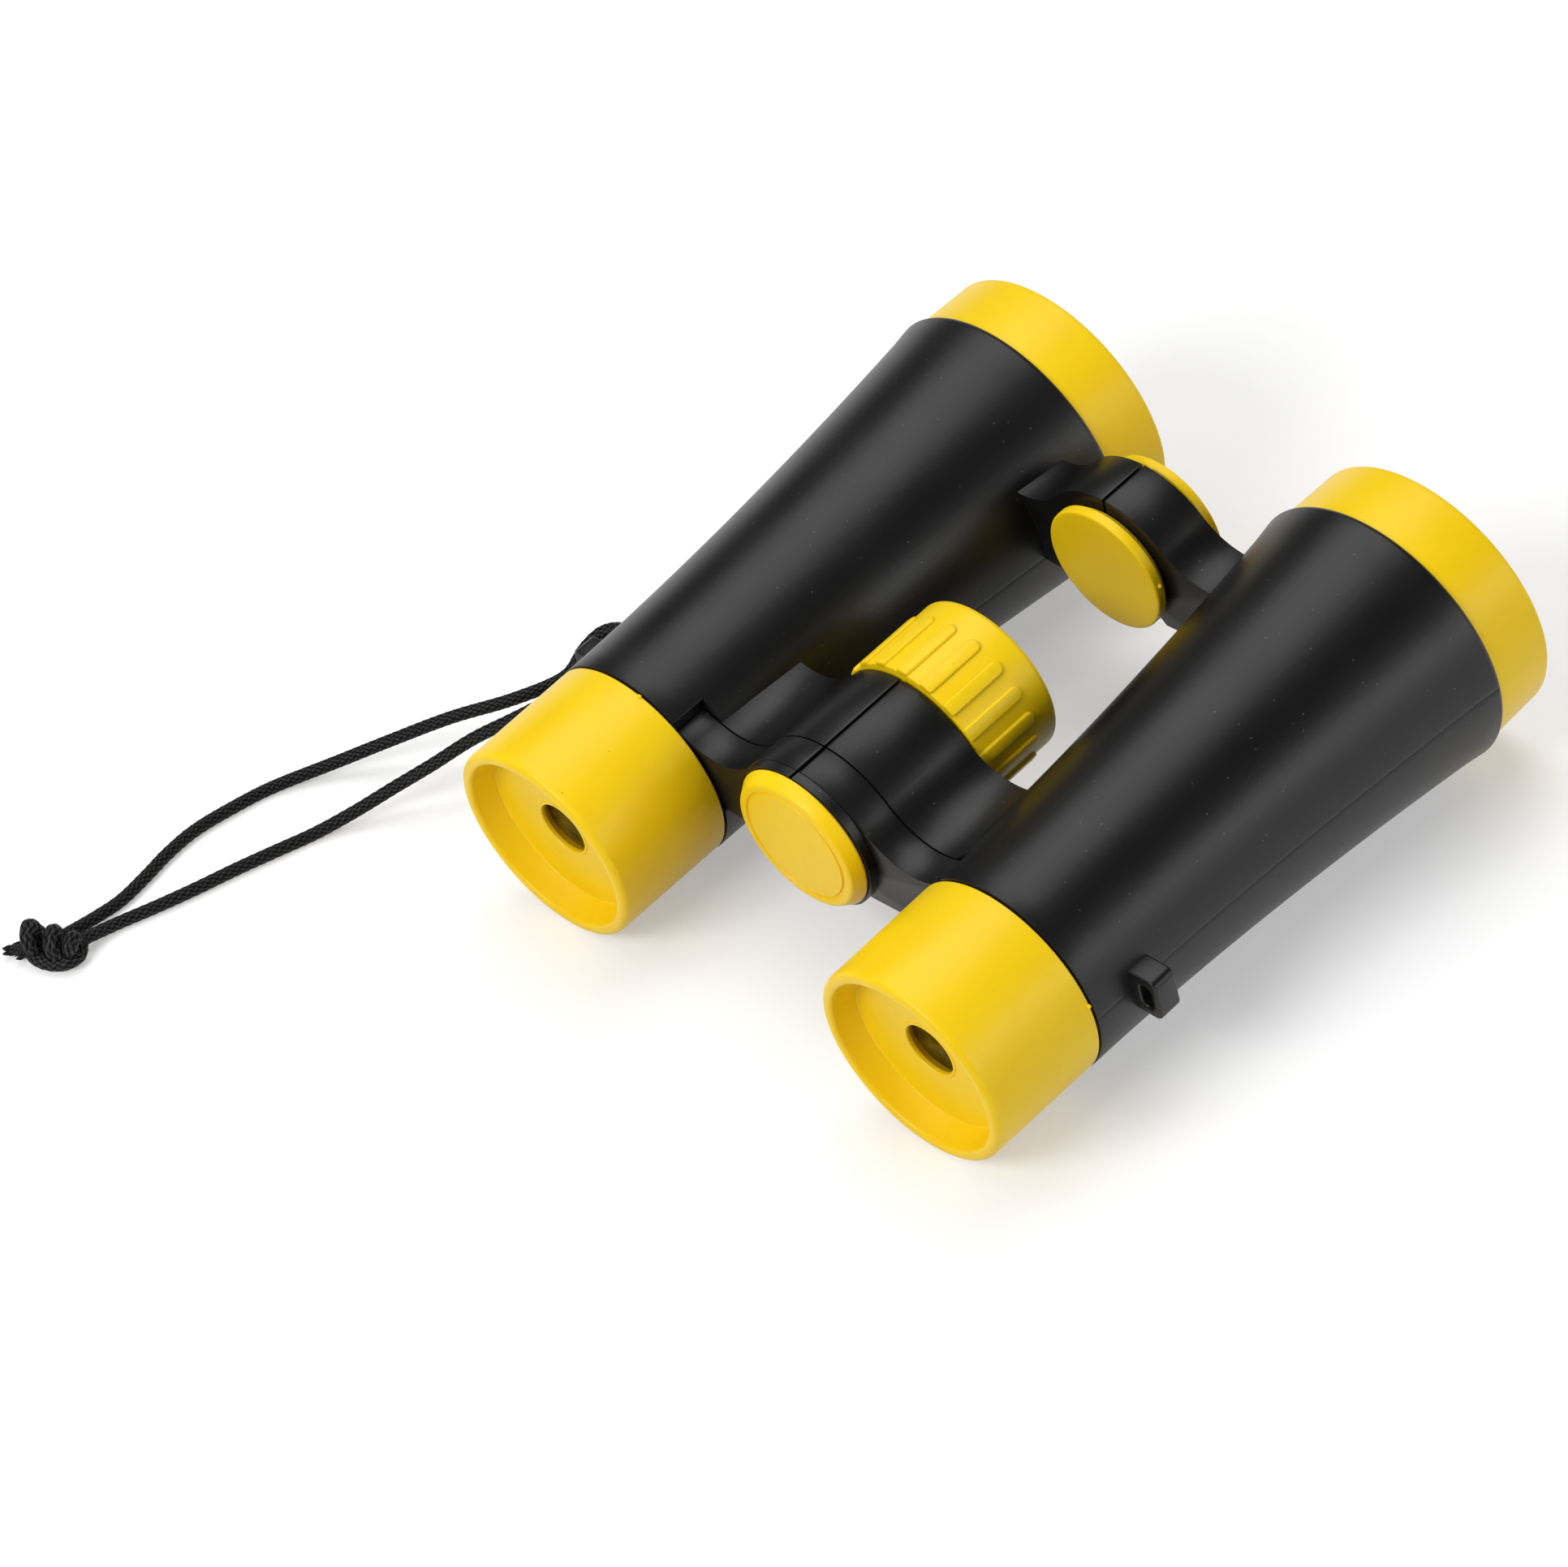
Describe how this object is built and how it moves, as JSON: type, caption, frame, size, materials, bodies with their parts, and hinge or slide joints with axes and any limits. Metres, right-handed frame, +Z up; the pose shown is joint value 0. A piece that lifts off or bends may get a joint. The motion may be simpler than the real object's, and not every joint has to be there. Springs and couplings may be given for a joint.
{
  "type": "toy binoculars",
  "caption": "Folding toy binoculars with flared barrels, centre hinge, ribbed focus wheel that slides the eyepieces, and a doubled neck cord on a strap lug.",
  "frame": {"origin": "middle of the object's outline without its cord, on the surface it rests on, under the hinge axis", "axes": "+X to the user's right, across the two barrels, +Y forwards from the eyepieces to the objectives, +Z up; the optical axes rise forwards by 3.5 degrees, as it rests on its eyecup rims and front shoulders"},
  "size_m": [0.1524, 0.1581, 0.0425],
  "materials": {
    "black_plastic": "satin black moulded plastic with faint mould marks",
    "yellow_plastic": "satin to glossy yellow moulded plastic",
    "lens": "clear polished lens",
    "steel": "zinc-plated steel",
    "brass": "turned brass",
    "cord": "black braided cord"
  },
  "bodies": {
    "left_half": {"left_barrel_top": "black_plastic", "left_barrel_bottom": "black_plastic", "left_objective_ring": "yellow_plastic", "left_objective_lens": "lens", "left_lens_retainer": "black_plastic", "left_case_screws": "steel", "hinge_tube": "steel", "thrust_washer": "steel", "front_hinge_pin": "steel", "front_pin_rear_cap": "yellow_plastic", "front_pin_front_cap": "yellow_plastic", "cord_outer_strand": "cord", "cord_inner_strand": "cord", "cord_knot": "cord"},
    "right_half": {"right_barrel_top": "black_plastic", "right_barrel_bottom": "black_plastic", "right_objective_ring": "yellow_plastic", "right_objective_lens": "lens", "right_lens_retainer": "black_plastic", "right_case_screws": "steel"},
    "wheel": {"focus_wheel": "yellow_plastic", "focus_screw": "steel", "wheel_screw": "steel", "screw_clip": "steel"},
    "left_eyepiece": {"left_focus_arm": "black_plastic", "left_eyecup": "yellow_plastic", "left_eye_lens": "lens", "focus_nut": "brass", "rear_cap": "yellow_plastic"},
    "right_eyepiece": {"right_focus_arm": "black_plastic", "right_eyecup": "yellow_plastic", "right_eye_lens": "lens"}
  },
  "joints": [
    {"name": "fold", "type": "hinge", "parent": "left_half", "child": "right_half", "pos_m": [0, -0.00286, 0.0253], "axis": [0, 0.9981, 0.0611], "range_deg": [0, 76]},
    {"name": "focus", "type": "hinge", "parent": "left_half", "child": "wheel", "pos_m": [0, -0.00286, 0.0253], "axis": [0, 0.9981, 0.0611], "range_deg": [0, 450]},
    {"name": "left_focus_slide", "type": "slide", "parent": "left_half", "child": "left_eyepiece", "axis": [0, -0.9981, -0.0611], "range_m": [0, 0.00501]},
    {"name": "right_focus_slide", "type": "slide", "parent": "right_half", "child": "right_eyepiece", "axis": [0, -0.9981, -0.0611], "range_m": [0, 0.00501]}
  ],
  "couplings": [
    {"joint": "left_focus_slide", "follows": "focus", "m_per_rad": 0.00063662},
    {"joint": "right_focus_slide", "follows": "focus", "m_per_rad": 0.00063662}
  ]
}
